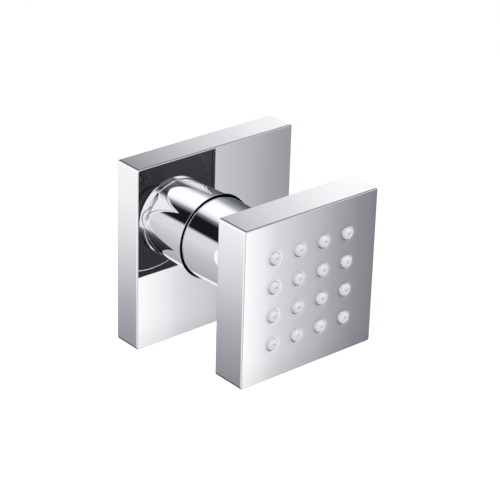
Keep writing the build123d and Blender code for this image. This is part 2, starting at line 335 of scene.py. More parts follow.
@dataclass(frozen=True)
class Finish:
    """A surface finish that becomes one material."""

    name: str
    colour: Colour
    second: Colour
    roughness: float
    rougher: float

    def material(self) -> bpy.types.Material:
        """The finish's material, made at the first call."""
        found = bpy.data.materials.get(self.name)
        if found:
            return found
        made = bpy.data.materials.new(self.name)
        made.use_nodes = True
        made.diffuse_color = (*self.colour, 1.0)
        shader = made.node_tree.nodes["Principled BSDF"]
        self.dress(Nodes(made.node_tree), shader)
        return made

    def dress(self, nodes: Nodes, shader: Node) -> None:
        """Wires the Principled shader; each kind of finish has its own way."""
        raise NotImplementedError

    def tones(self, nodes: Nodes, shader: Node, mask: Socket) -> None:
        """Lets a mask move the colour and the roughness between their two values."""
        nodes.join(nodes.mix(mask, self.colour, self.second), shader.inputs["Base Color"])
        nodes.join(nodes.span(mask, 0.0, 1.0, self.roughness, self.rougher), shader.inputs["Roughness"])

    def relief(self, nodes: Nodes, shader: Node, height: Socket, depth: float) -> None:
        """Adds a bump.

        Args:
            nodes: Helper of the material's tree.
            shader: The material's Principled shader.
            height: Height of the surface, from 0 to 1.
            depth: Depth of the bump, in metres.
        """
        bump = nodes.add("ShaderNodeBump")
        bump.inputs["Strength"].default_value = 1.0
        bump.inputs["Distance"].default_value = depth
        nodes.join(height, bump.inputs["Height"])
        nodes.join(bump.outputs["Normal"], shader.inputs["Normal"])


@dataclass(frozen=True)
class PolishedChrome(Finish):
    """Plated, buffed metal with a trace of haze, and a hollow face where it has a dish radius."""

    dish: float = 0.0

    def dress(self, nodes: Nodes, shader: Node) -> None:
        """Wires the chrome."""
        shader.inputs["Metallic"].default_value = 1.0
        marks = Effects.place(nodes, Effect.POLISH)
        self.tones(nodes, shader, marks.outputs["Haze"])
        if self.dish:
            face = Effects.place(nodes, Effect.DISH, Radius=self.dish)
            nodes.join(face.outputs["Normal"], shader.inputs["Normal"])


@dataclass(frozen=True)
class TurnedMetal(Finish):
    """Bare metal with rings from the lathe."""

    depth: float = 0.000004

    def dress(self, nodes: Nodes, shader: Node) -> None:
        """Wires the metal."""
        shader.inputs["Metallic"].default_value = 1.0
        lines = Effects.place(nodes, Effect.TURNING)
        self.tones(nodes, shader, lines.outputs["Drift"])
        self.relief(nodes, shader, lines.outputs["Line"], self.depth)


@dataclass(frozen=True)
class MouldedPlastic(Finish):
    """Moulded plastic with a fine grain."""

    depth: float = 0.00001
    gloss: float = 0.5

    def dress(self, nodes: Nodes, shader: Node) -> None:
        """Wires the plastic."""
        shader.inputs["Specular IOR Level"].default_value = self.gloss
        grain = Effects.place(nodes, Effect.GRAIN)
        self.tones(nodes, shader, grain.outputs["Drift"])
        self.relief(nodes, shader, grain.outputs["Grain"], self.depth)


@dataclass(frozen=True)
class SoftSilicone(Finish):
    """Pale, dull silicone."""

    gloss: float = 0.2

    def dress(self, nodes: Nodes, shader: Node) -> None:
        """Wires the silicone."""
        grain = Effects.place(nodes, Effect.GRAIN, **{"Grain Scale": 1800.0, "Drift Scale": 160.0})
        self.tones(nodes, shader, grain.outputs["Drift"])
        shader.inputs["Specular IOR Level"].default_value = self.gloss


CHROME = PolishedChrome("polished_chrome", (0.93, 0.935, 0.945), (0.915, 0.92, 0.93), 0.012, 0.03)
FLANGE_CHROME = replace(CHROME, name="flange_chrome", dish=2.3)
DARK_PLASTIC = MouldedPlastic("dark_plastic", (0.090, 0.091, 0.096), (0.078, 0.079, 0.084), 0.42, 0.52)
WHITE_PLASTIC = MouldedPlastic("white_plastic", (0.74, 0.74, 0.72), (0.68, 0.68, 0.66), 0.38, 0.5)
LINER_PLASTIC = MouldedPlastic("liner_plastic", (0.030, 0.031, 0.034), (0.024, 0.025, 0.028), 0.3, 0.42,
                               gloss=0.12)
THROAT_COAT = MouldedPlastic("throat_coat", (0.38, 0.382, 0.39), (0.34, 0.342, 0.35), 0.4, 0.5, gloss=0.2)
BLACK_RUBBER = MouldedPlastic("black_rubber", (0.010, 0.010, 0.011), (0.016, 0.016, 0.017), 0.5, 0.65)
FOAM = MouldedPlastic("foam_sheet", (0.05, 0.05, 0.052), (0.035, 0.035, 0.037), 0.85, 0.95, 0.00012)
STEEL = TurnedMetal("plain_steel", (0.60, 0.60, 0.61), (0.52, 0.52, 0.53), 0.22, 0.34)
BRASS = TurnedMetal("turned_brass", (0.72, 0.52, 0.24), (0.64, 0.45, 0.20), 0.2, 0.32)
SILICONE = SoftSilicone("soft_silicone", (0.84, 0.85, 0.87), (0.80, 0.81, 0.83), 0.5, 0.6)


def dress_nodes(finishes: dict[str, Finish]) -> None:
    """Gives CAD nodes their finishes.

    Args:
        finishes: Finish of all of a node, by the node's name.
    """
    for name, finish in finishes.items():
        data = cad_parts[name].data
        data.materials.clear()
        data.materials.append(finish.material())
        LOG.info("dressed %s with %s", name, finish.name)


def settle(name: str, mesh: Mesh, finish: Finish, body: Body, node: str, sharp: float,
           lining: Optional[Finish] = None) -> bpy.types.Object:
    """Turns a finished mesh into a piece that rides on a body and stands for a CAD node.

    Args:
        name: Name of the piece.
        mesh: Its mesh, in metres.
        finish: Its finish.
        body: Body that it rides on.
        node: CAD node that it stands for.
        sharp: Angle in degrees above which an edge stays crisp.
        lining: Finish of the faces marked with material 1, if any.

    Returns:
        The piece.
    """
    bmesh.ops.remove_doubles(mesh, verts=mesh.verts, dist=WELD)
    bmesh.ops.dissolve_degenerate(mesh, edges=mesh.edges, dist=SLIVER)
    bmesh.ops.recalc_face_normals(mesh, faces=mesh.faces)
    data = bpy.data.meshes.new(name)
    mesh.to_mesh(data)
    mesh.free()
    data.shade_smooth()
    data.set_sharp_from_angle(angle=math.radians(sharp))
    for each in (finish, lining):
        if each:
            data.materials.append(each.material())
    made = bpy.data.objects.new(name, data)
    bpy.context.scene.collection.objects.link(made)
    weigh = made.modifiers.new("even_shading", "WEIGHTED_NORMAL")
    weigh.keep_sharp = True
    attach(made, body.value)
    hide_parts(node)
    LOG.info("built %s from %d faces", name, len(data.polygons))
    return made


def rolled_edge(reach: float, depth: float, steps: int, power: float = 2.4) -> list[tuple[float, float]]:
    """Profile of a polished edge that rolls off ever faster towards the corner.

    Args:
        reach: How far the roll-off reaches in along the face.
        depth: How far it reaches down the side.
        steps: Number of steps from the side to the face.
        power: How square the corner stays; 2 is a plain ellipse.

    Returns:
        Pairs of inset from the side and drop below the face, from the side to the face.
    """
    points = []
    for step in range(steps + 1):
        turn = math.pi / 2.0 * step / steps
        inset = reach * (1.0 - math.cos(turn) ** (2.0 / power))
        drop = depth * (1.0 - math.sin(turn) ** (2.0 / power))
        points.append((inset, drop))
    return points


def eased_edge(reach: float, depth: float, steps: int, power: float = 4.0) -> list[tuple[float, float]]:
    """Profile of a side that eases in towards a crisp front edge.

    Args:
        reach: How far the side has come in at the front edge.
        depth: Length of the eased part of the side.
        steps: Number of steps along it.
        power: How late the easing sets in.

    Returns:
        Pairs of inset from the side and drop below the face, from the side to the face.
    """
    shares = [step / steps for step in range(steps + 1)]
    return [(reach * share ** power, depth * (1.0 - share)) for share in shares]


def ring(mesh: Mesh, across: float, upward: float, radius: float, station: float, segments: int) -> Loop:
    """Adds one closed round loop that faces along the spray axis; all lengths are in millimetres.

    Args:
        mesh: Mesh to add to.
        across: Its centre along X.
        upward: Its centre along Z.
        radius: Its radius.
        station: Distance in front of the wall.
        segments: Number of its vertices.

    Returns:
        The loop's vertices.
    """
    loop = []
    for step in range(segments):
        turn = FULL_TURN * step / segments
        place = (across + radius * math.cos(turn), -station, upward + radius * math.sin(turn))
        loop.append(mesh.verts.new(Vector(place) * MM))
    return loop


def bridge(mesh: Mesh, first: Loop, second: Loop) -> None:
    """Joins two closed loops of equal length by a band of faces.

    Args:
        mesh: Mesh to add to.
        first: One loop.
        second: The other loop.
    """
    count = len(first)
    for index in range(count):
        after = (index + 1) % count
        mesh.faces.new((first[index], first[after], second[after], second[index]))


def fill(mesh: Mesh, loops: Sequence[Loop]) -> None:
    """Fills the flat field between an outer loop and the loops of its holes.

    Args:
        mesh: Mesh to add to.
        loops: The outer loop and its holes' loops.
    """
    edges = []
    for loop in loops:
        for index, vert in enumerate(loop):
            after = loop[(index + 1) % len(loop)]
            edges.append(mesh.edges.get((vert, after)) or mesh.edges.new((vert, after)))
    bmesh.ops.triangle_fill(mesh, use_beauty=True, use_dissolve=False, edges=edges)


@dataclass
class Hole:
    """A round hole in the face of a shell, with a rolled lip and a faint dip about it."""

    across: float
    upward: float
    radius: float
    reach: float
    depth: float
    segments: int
    dip: float = 0.0
    dip_width: float = 0.0


@dataclass
class SquareShell:
    """A square cap, dark inside, with eased sides, a fine bevel and round holes in its face."""

    name: str
    node: str
    body: Body
    width: float
    back: float
    front: float
    rear_edge: float
    holes: list[Hole]
    wall: float = 1.2
    face: float = 1.6
    corner: float = 1.0
    corner_share: float = 0.6
    least_corner: float = 0.02
    corner_steps: int = 14
    squareness: float = 3.6
    reach: float = 0.07
    depth: float = 0.8
    edge_steps: int = 16
    bevel: float = 0.2
    rear_steps: int = 4
    lip_steps: int = 7
    dip_steps: tuple[float, ...] = (0.2, 0.4, 0.6, 0.8, 1.0)
    sharp: float = 40.0

    def square(self, mesh: Mesh, inset: float, station: float) -> Loop:
        """Adds one closed square loop.

        Args:
            mesh: Mesh to add to.
            inset: Distance in from the outer side, in millimetres.
            station: Distance in front of the wall, in millimetres.

        Returns:
            The loop's vertices.
        """
        half = self.width / 2.0 - inset
        radius = max(self.corner - inset * self.corner_share, self.least_corner)
        power = 2.0 / self.squareness
        verts = []
        for quarter in range(4):
            middle = math.radians(45.0 + 90.0 * quarter)
            centre_x = math.copysign(half - radius, math.cos(middle))
            centre_z = math.copysign(half - radius, math.sin(middle))
            for step in range(self.corner_steps + 1):
                turn = math.radians(90.0 * quarter + 90.0 * step / self.corner_steps)
                right = math.copysign(abs(math.cos(turn)) ** power, math.cos(middle))
                above = math.copysign(abs(math.sin(turn)) ** power, math.sin(middle))
                place = (centre_x + radius * right, -station, centre_z + radius * above)
                verts.append(mesh.verts.new(Vector(place) * MM))
        return verts

    @staticmethod
    def circle(mesh: Mesh, hole: Hole, radius: float, station: float) -> Loop:
        """Adds one closed round loop about a hole."""
        return ring(mesh, hole.across, hole.upward, radius, station, hole.segments)

    def build(self, finish: Finish) -> bpy.types.Object:
        """Builds the shell as one closed mesh.

        Args:
            finish: Its finish.

        Returns:
            The piece.
        """
        mesh = bmesh.new()
        inside = self.front - self.face
        loops = [self.square(mesh, self.wall, inside), self.square(mesh, self.wall, self.back)]
        for inset, drop in reversed(rolled_edge(self.rear_edge, self.rear_edge, self.rear_steps)):
            loops.append(self.square(mesh, inset, self.back + drop))
        for inset, drop in eased_edge(self.reach, self.depth, self.edge_steps):
            loops.append(self.square(mesh, inset, self.front - self.bevel - drop))
        loops.append(self.square(mesh, self.reach + self.bevel, self.front))
        rims, feet, walls = [loops[-1]], [loops[0]], []
        for hole in self.holes:
            rows = [self.circle(mesh, hole, hole.radius, inside)]
            for inset, drop in rolled_edge(hole.reach, hole.depth, self.lip_steps):
                rows.append(self.circle(mesh, hole, hole.radius + inset, self.front - drop - hole.dip))
            for share in self.dip_steps if hole.dip else ():
                out = hole.radius + hole.reach + hole.dip_width * share
                rows.append(self.circle(mesh, hole, out, self.front - hole.dip * (1.0 - share) ** 2))
            walls += zip(rows, rows[1:])
            feet.append(rows[0])
            rims.append(rows[-1])
        bridge(mesh, loops[0], loops[1])
        fill(mesh, feet)
        for face in mesh.faces:
            face.material_index = 1
        for first, second in [*zip(loops[1:], loops[2:]), *walls]:
            bridge(mesh, first, second)
        fill(mesh, rims)
        return settle(self.name, mesh, finish, self.body, self.node, self.sharp, DARK_PLASTIC)


@dataclass
class Turned:
    """A piece turned about the spray axis, drawn row by row along its outline."""

    name: str
    node: str
    body: Body
    columns: list[float]
    sharp: float = 15.0

    def row(self, mesh: Mesh, station: float, radii: Sequence[float]) -> Loop:
        """Adds one closed row.

        Args:
            mesh: Mesh to add to.
            station: Distance in front of the wall, in millimetres.
            radii: Radius at each column, in millimetres.

        Returns:
            The row's vertices.
        """
        verts = []
        for turn, radius in zip(self.columns, radii):
            place = (radius * math.cos(turn), -station, radius * math.sin(turn))
            verts.append(mesh.verts.new(Vector(place) * MM))
        return verts

    def build(self, rows: Sequence[Row], finish: Finish) -> bpy.types.Object:
        """Joins the rows to a closed skin.

        Args:
            rows: Station and radii of each row, in order round the outline.
            finish: Its finish.

        Returns:
            The piece.
        """
        mesh = bmesh.new()
        loops = self.skin(mesh, rows)
        bridge(mesh, loops[-1], loops[0])
        return settle(self.name, mesh, finish, self.body, self.node, self.sharp)

    def skin(self, mesh: Mesh, rows: Sequence[Row]) -> list[Loop]:
        """Adds the rows and joins each to the next.

        Args:
            mesh: Mesh to add to.
            rows: Station and radii of each row, in order.

        Returns:
            The rows' vertices.
        """
        loops = [self.row(mesh, station, radii) for station, radii in rows]
        for first, second in zip(loops, loops[1:]):
            bridge(mesh, first, second)
        return loops


@dataclass
class RetainerNut:
    """The collar that closes the neck, with its throat, its skirt and its spanner holes."""

    back: float = 28.7
    front: float = 31.1
    radius: float = 12.95
    edge: float = 0.28
    edge_steps: int = 6
    back_edge: float = 0.05
    skirt_radius: float = 10.35
    skirt_back: float = 22.05
    seat_radius: float = 9.25
    seat_station: float = 22.0
    seat_turn: float = 0.3
    seat_steps: int = 10
    throat_turn: float = 40.17
    mouth_radius: float = 7.956
    mouth_depth: float = 0.1
    mouth_nip: float = 0.03
    mouth_flare: float = 0.06
    lining_margin: float = 0.01
    spanner_holes: int = 4
    spanner_radius: float = 0.8
    spanner_depth: float = 1.4
    spanner_segments: int = 24
    segments: int = 160

    def build(self, finish: Finish) -> bpy.types.Object:
        """Builds the nut as one closed mesh.

        Args:
            finish: Its finish.

        Returns:
            The piece.
        """
        columns = [FULL_TURN * step / self.segments for step in range(self.segments)]
        piece = Turned("retainer_skin", "retainer_nut", Body.WALL, columns)
        mesh = bmesh.new()
        loops = piece.skin(mesh, [(station, [radius] * self.segments) for station, radius in self.outline()])
        for face in mesh.faces:
            reach = max(math.hypot(vert.co.x, vert.co.z) for vert in face.verts) / MM
            face.material_index = 1 if reach < self.seat_radius + self.lining_margin else 0
        rims = [loops[0], loops[-1]]
        middle = (self.mouth_radius + self.radius) / 2.0
        for index in range(self.spanner_holes):
            turn = Matrix.Rotation(math.radians(360.0 / self.spanner_holes * index), 2)
            rims.append(self.spanner_hole(mesh, Vector((middle, 0.0)) @ turn))
        fill(mesh, rims)
        return settle(piece.name, mesh, finish, piece.body, piece.node, piece.sharp, THROAT_COAT)

    def outline(self) -> list[tuple[float, float]]:
        """Outline of the nut, from its front edge round the skirt to its mouth.

        Returns:
            Stations and radii, in millimetres.
        """
        outline = [(self.front - drop, self.radius - inset)
                   for inset, drop in reversed(rolled_edge(self.edge, self.edge, self.edge_steps, ROUND))]
        outline += [(self.back + self.back_edge, self.radius), (self.back, self.radius - self.back_edge)]
        outline += [(self.back, self.skirt_radius), (self.skirt_back, self.skirt_radius)]
        for step in range(self.seat_steps + 1):
            turn = math.radians(self.seat_turn + (self.throat_turn - self.seat_turn) * step / self.seat_steps)
            outline.append((self.seat_station + self.seat_radius * math.sin(turn),
                            self.seat_radius * math.cos(turn)))
        outline.append((self.front - self.mouth_depth, self.mouth_radius - self.mouth_nip))
        outline.append((self.front, self.mouth_radius + self.mouth_flare))
        return outline

    def spanner_hole(self, mesh: Mesh, centre: Vector) -> Loop:
        """Adds one blind hole for a pin spanner.

        Args:
            mesh: Mesh to add to.
            centre: Its centre across and upward, in millimetres.

        Returns:
            The hole's rim.
        """
        rim, foot = [ring(mesh, centre.x, centre.y, self.spanner_radius, station, self.spanner_segments)
                     for station in (self.front, self.front - self.spanner_depth)]
        bridge(mesh, rim, foot)
        mesh.faces.new(foot)
        return rim


@dataclass
class WallSide:
    """Everything that stays on the wall."""

    flange_width: float = 60.0
    flange_depth: float = 10.0
    rear_edge: float = 0.1
    hole_radius: float = 13.85
    neck_radius: float = 13.35
    neck_back: float = 2.2
    neck_lip: float = 0.2
    neck_middle: float = 6.0
    taper_start: float = 10.0
    taper_ease: float = 0.4
    neck_end: float = 28.7
    neck_end_radius: float = 12.7
    flat_distance: float = 11.65
    flat_length: float = 1.5
    flat_margin: float = 0.1
    flat_turn: float = 150.0
    flat_steps: int = 6
    flat_columns: int = 12
    round_columns: int = 84
    widest_flat: float = 0.5
    tail_radius: float = 10.4775
    tail_length: float = 13.0
    tail_relief: float = 0.5
    thread_pitch: float = 1.814
    thread_depth: float = 1.162
    thread_steps: int = 14
    thread_start: float = 1.2
    thread_stop: float = 0.6
    thread_crest: float = 0.12
    thread_flank: float = 0.76
    chamfer_length: float = 1.0
    chamfer_slope: float = 0.9
    pocket_radius: float = 6.8
    pocket_front: float = -4.0
    water_radius: float = 3.5
    bore_radius: float = 10.4
    bore_back: float = 22.0
    seat_radius: float = 9.25
    seat_steps: int = 8
    seat_step: float = 8.4

    def build(self) -> None:
        """Builds the flange and the neck, and dresses what is behind them."""
        self.flange()
        self.inlet()
        RetainerNut().build(CHROME)
        dress_nodes({
            "flange_backing": WHITE_PLASTIC, "wall_gasket": FOAM, "flange_ring": BLACK_RUBBER,
            "tail_ring": BLACK_RUBBER, "inlet_filter": STEEL, "flow_regulator": WHITE_PLASTIC,
            "regulator_ring": BLACK_RUBBER, "seat_seal": BLACK_RUBBER,
        })

    def flange(self) -> None:
        """Builds the square wall flange."""
        hole = Hole(0.0, 0.0, self.hole_radius, reach=0.3, depth=0.2, segments=160)
        shell = SquareShell("flange_skin", "wall_flange", Body.WALL, self.flange_width, 0.0,
                            self.flange_depth, self.rear_edge, [hole])
        shell.build(FLANGE_CHROME)

    def neck_radius_at(self, station: float) -> float:
        """Radius of the neck's outside.

        Args:
            station: Distance in front of the wall, in millimetres.

        Returns:
            The radius there, in millimetres.
        """
        if station <= self.taper_start:
            return self.neck_radius
        share = (station - self.taper_start) / (self.neck_end - self.taper_start)
        return self.neck_radius + share * (self.neck_end_radius - self.neck_radius)

    def inlet(self) -> None:
        """Builds the inlet body: threaded tail, neck, wrench flats and bores, in one skin."""
        flat_start = self.neck_end - self.flat_length
        middle = math.radians(self.flat_turn)
        half = math.acos(self.flat_distance / self.neck_radius_at(flat_start))
        columns: list[float] = []
        for side in range(2):
            centre = middle + math.pi * side
            across, around = self.flat_columns, self.round_columns
            columns += [centre - half + 2.0 * half * step / across for step in range(across)]
            columns += [centre + half + (math.pi - 2.0 * half) * step / around for step in range(around)]
        piece = Turned("inlet_skin", "inlet_body", Body.WALL, columns)

        def even(radius: float) -> list[float]:
            """The same radius for every column."""
            return [radius] * len(columns)

        def clipped(radius: float) -> list[float]:
            """A round radius, cut back to the two wrench flats."""
            radii = []
            for turn in columns:
                lean = abs(math.cos(turn - middle))
                radii.append(min(radius, self.flat_distance / lean) if lean > self.widest_flat else radius)
            return radii

        stations = (self.neck_back, self.neck_back + self.neck_lip, self.neck_middle,
                    self.taper_start - self.taper_ease, self.taper_start + self.taper_ease,
                    flat_start - self.flat_margin, flat_start)
        rows: list[Row] = [(station, even(self.neck_radius_at(station))) for station in stations]
        for step in range(self.flat_steps + 1):
            station = flat_start + self.flat_length * step / self.flat_steps
            rows.append((station, clipped(self.neck_radius_at(station))))
        inside = [(self.neck_end, self.bore_radius), (self.bore_back, self.bore_radius),
                  (self.bore_back, self.seat_radius)]
        for step in range(1, self.seat_steps + 1):
            turn = math.radians(step * self.seat_step)
            inside.append((self.bore_back - self.seat_radius * math.sin(turn),
                           self.seat_radius * math.cos(turn)))
        inside += [(self.pocket_front, self.water_radius), (self.pocket_front, self.pocket_radius),
                   (-self.tail_length, self.pocket_radius)]
        rows += [(station, even(radius)) for station, radius in inside]
        rows += self.thread_rows(columns)
        rows += [(station, even(self.tail_radius - self.tail_relief)) for station in (0.0, self.neck_back)]
        piece.build(rows, CHROME)

    def thread_rows(self, columns: Sequence[float]) -> list[Row]:
        """Rows of the tail with its pipe thread.

        Args:
            columns: Angles of the columns.

        Returns:
            Station and radii of each row, from the tail's end to the wall.
        """
        rows: list[Row] = []
        count = int(self.tail_length / self.thread_pitch * self.thread_steps)
        for step in range(count + 1):
            station = -self.tail_length + self.tail_length * step / count
            from_end = station + self.tail_length
            fade = min(1.0, from_end / self.thread_start, max(0.0, -station - self.thread_stop))
            crest = self.tail_radius - max(0.0, self.chamfer_length - from_end) * self.chamfer_slope
            radii = []
            for turn in columns:
                phase = (station / self.thread_pitch - turn / FULL_TURN) % 1.0
                wave = abs(2.0 * phase - 1.0)
                groove = min(1.0, max(0.0, (wave - self.thread_crest) / self.thread_flank))
                radii.append(crest - self.thread_depth * fade * groove)
            rows.append((station, radii))
        return rows


class BallJoint:
    """Liners, seal and ball inside the neck."""

    def build(self) -> None:
        """Dresses the pieces of the ball joint."""
        dress_nodes({
            "rear_liner": LINER_PLASTIC, "front_liner": LINER_PLASTIC, "ball_seal": BLACK_RUBBER,
            "swivel_ball": DARK_PLASTIC,
        })


@dataclass
class SprayHead:
    """The square head with its nozzles."""

    width: float = 51.0
    back: float = 42.0
    front: float = 54.0
    rear_edge: float = 0.25
    pitch: float = 9.33
    rows: int = 4
    hole_radius: float = 1.95
    hole_fit: float = 0.02
    hole_drop: float = 0.2
    nozzle_radius: float = 1.8
    nozzle_reach: float = 1.0
    nozzle_segments: int = 36
    nose_reach: float = 1.0
    nose_depth: float = 0.8
    nose_steps: int = 10
    orifice_radius: float = 0.45
    orifice: tuple[tuple[float, float, float], ...] = (
        (0.0, 0.001, 0.9), (0.8, 0.0, 0.85), (1.0, 0.0, 0.2), (1.0, 0.08, 0.05), (1.0, 0.2, 0.0))
    mat_radius: float = 23.9
    mat_depth: float = 1.6
    mat_thickness: float = 1.4
    mat_segments: int = 96
    foot: float = 0.05
    sharp: float = 40.0

    def build(self) -> None:
        """Builds the shell and the nozzles, and dresses the rest of the head."""
        self.shell()
        self.nozzles()
        dress_nodes({
            "head_cover": CHROME, "stem_washer": BLACK_RUBBER, "stem_nut": BRASS,
            "chamber_seal": BLACK_RUBBER, "spray_plate": WHITE_PLASTIC,
        })

    def places(self) -> list[tuple[float, float]]:
        """Centres of the nozzles on the head's face."""
        first = -self.pitch * (self.rows - 1) / 2.0
        steps = [first + self.pitch * index for index in range(self.rows)]
        return [(across, upward) for across in steps for upward in steps]

    def shell(self) -> None:
        """Builds the square cap with its nozzle holes."""
        holes = [Hole(across, upward, self.hole_radius, reach=0.3, depth=0.18, segments=48, dip=0.006,
                      dip_width=1.4) for across, upward in self.places()]
        shell = SquareShell("head_skin", "head_shell", Body.HEAD, self.width, self.back, self.front,
                            self.rear_edge, holes)
        shell.build(CHROME)

    def nozzle_outline(self, base: float) -> list[tuple[float, float]]:
        """Outline of one nozzle, from the bottom of its orifice over the nose to the mat.

        Args:
            base: Station of the mat's front.

        Returns:
            Radii and stations, in millimetres.
        """
        tip = self.front + self.nozzle_reach
        outline = [(self.orifice_radius * share + more, tip - drop) for share, more, drop in self.orifice]
        for inset, drop in reversed(rolled_edge(self.nose_reach, self.nose_depth, self.nose_steps, ROUND)):
            outline.append((self.nozzle_radius - inset, tip - drop))
        outline.append((self.nozzle_radius, self.front))
        outline += [(self.hole_radius - self.hole_fit, station)
                    for station in (self.front - self.hole_drop, base + self.foot, base)]
        return outline

    def nozzles(self) -> None:
        """Builds the soft mat with its round-nosed nozzles."""
        mesh = bmesh.new()
        base = self.front - self.mat_depth
        outline = self.nozzle_outline(base)
        for across, upward in self.places():
            loops = [ring(mesh, across, upward, radius, station, self.nozzle_segments)
                     for radius, station in outline]
            for first, second in zip(loops, loops[1:]):
                bridge(mesh, first, second)
        front, rear = [ring(mesh, 0.0, 0.0, self.mat_radius, station, self.mat_segments)
                       for station in (base, base - self.mat_thickness)]
        bridge(mesh, front, rear)
        mesh.faces.new(front)
        mesh.faces.new(list(reversed(rear)))
        settle("nozzle_skin", mesh, SILICONE, Body.HEAD, "nozzle_mat", self.sharp)


@dataclass
class Studio:
    """Camera, lamps, pale floor and the surroundings that the chrome shows."""

    azimuth: float = -40.772
    elevation: float = 26.020
    roll: float = 1.721
    aside: float = -1.023 * MM
    above: float = -1.168 * MM
    distance: float = 614.34 * MM
    focal_pixels: float = 2027.81
    picture_pixels: float = 500.0
    sensor: float = 36.0
    camera_aim: tuple[float, float, float] = (0.0, -0.025, 0.0)
    lamp_aim: tuple[float, float, float] = (0.0, -0.03, 0.0)
    lamp_size: float = 0.6
    floor_level: float = -0.42
    floor_side: float = 6.0
    card_station: float = -0.47
    card_across: tuple[float, float] = (0.196, 0.627)
    card_upward: tuple[float, float] = (-0.376, -0.196)
    ahead_span: tuple[float, float] = (-0.90, -0.79)
    behind_span: tuple[float, float] = (-0.63, -0.53)
    behind_droop: float = 1.2
    ceiling_span: tuple[float, float] = (0.44, 0.52)
    side_span: tuple[float, float] = (0.74, 0.84)
    deep_span: tuple[float, float] = (2.4, 2.6)

    def build(self) -> None:
        """Sets up the whole studio."""
        bpy.context.scene.view_settings.view_transform = "Standard"
        self.camera()
        self.surroundings()
        self.floor()
        self.front_card()
        self.lamp("key_lamp", (-0.45, -0.55, 0.75), 4.2)
        self.lamp("fill_lamp", (0.7, -0.3, 0.35), 1.6)
        self.lamp("back_lamp", (-0.1, 0.75, 0.5), 1.6)

    def camera(self) -> None:
        """Places the camera at the photograph's angle."""
        turn, rise, tilt = (math.radians(v) for v in (self.azimuth, self.elevation, self.roll))
        back = Vector((math.sin(turn) * math.cos(rise), -math.cos(turn) * math.cos(rise), math.sin(rise)))
        level = (-back).cross(Vector((0.0, 0.0, 1.0))).normalized()
        upright = level.cross(-back)
        right = math.cos(tilt) * level + math.sin(tilt) * upright
        top = -math.sin(tilt) * level + math.cos(tilt) * upright
        place = Vector(self.camera_aim) - (right * self.aside + top * self.above - back * self.distance)
        data = bpy.data.cameras.new("camera")
        data.sensor_width = self.sensor
        data.lens = self.focal_pixels / self.picture_pixels * self.sensor
        data.clip_start = 0.01
        data.clip_end = 50.0
        made = bpy.data.objects.new("camera", data)
        matrix = Matrix((right, top, back)).transposed().to_4x4()
        matrix.translation = place
        made.matrix_world = matrix
        bpy.context.scene.collection.objects.link(made)
        bpy.context.scene.camera = made

    def lamp(self, name: str, place: tuple[float, float, float], power: float) -> None:
        """Adds a soft lamp that looks at the object and doesn't show in the chrome.

        Args:
            name: Name of the lamp.
            place: Where it hangs, in metres.
            power: Its power in watts.
        """
        data = bpy.data.lights.new(name, "AREA")
        data.size = self.lamp_size
        data.energy = power
        made = bpy.data.objects.new(name, data)
        made.location = place
        made.rotation_euler = (Vector(self.lamp_aim) - Vector(place)).to_track_quat("-Z", "Y").to_euler()
        made.visible_glossy = False
        made.visible_camera = False
        bpy.context.scene.collection.objects.link(made)

    def surroundings(self) -> None:
        """Builds the world: white to the eye, even for soft light, and a studio of panels to the chrome."""
        world = bpy.data.worlds.new("studio")
        bpy.context.scene.world = world
        world.use_nodes = True
        world.cycles.sampling_method = "NONE"
        nodes = Nodes(world.node_tree)
        background = world.node_tree.nodes["Background"]
        place = nodes.add("ShaderNodeTexCoord")
        across, along, upward = nodes.split(place.outputs["Generated"])
        panels = self.panels_round_axis(nodes, across, upward)
        ahead = nodes.span(along, *self.ahead_span, 1.0, 0.0, smooth=True)
        panels = nodes.mix(ahead, panels, AHEAD_GREY)
        below = nodes.math("MINIMUM", upward, 0.0)
        depth = nodes.math("ADD", along, nodes.math("MULTIPLY", below, self.behind_droop))
        behind = nodes.span(depth, *self.behind_span, smooth=True)
        seen = nodes.mix(behind, panels, self.panels_behind(nodes, across, along, upward))
        path = nodes.add("ShaderNodeLightPath")
        lit = nodes.mix(path.outputs["Is Glossy Ray"], SOFT_LIGHT, seen)
        plain = nodes.math("MAXIMUM", path.outputs["Is Camera Ray"], path.outputs["Is Transmission Ray"])
        nodes.join(nodes.mix(plain, lit, WHITE), background.inputs["Color"])

    def panels_round_axis(self, nodes: Nodes, across: Socket, upward: Socket) -> Socket:
        """White boxes, grey cards and a black flag, placed by their angle about the spray axis.

        Args:
            nodes: Helper of the world's tree.
            across: Share of the direction along X.
            upward: Share of the direction along Z.

        Returns:
            The panels' colour.
        """
        angle = nodes.span(nodes.math("ARCTAN2", upward, across), -math.pi, math.pi)
        return nodes.ramp(angle, self.greys(-180.0, 180.0, (
            (-180, 0.80), (-165, 0.70), (-140, 0.60), (-110, 0.54), (-83, 0.47), (-77, 0.47), (-72, 1.02),
            (-50, 1.0), (-42, 0.5), (-30, 0.2), (-20, 0.09), (0, 0.12), (15, 0.18), (30, 0.31), (42, 0.48),
            (49, 0.80), (57, 1.12), (92, 1.14), (100, 0.98), (107, 0.66), (112, 0.26), (118, 0.03),
            (122, 0.0105), (150, 0.0105), (151.5, 0.06), (155, 0.5), (158, 0.82), (170, 0.80), (180, 0.80))))

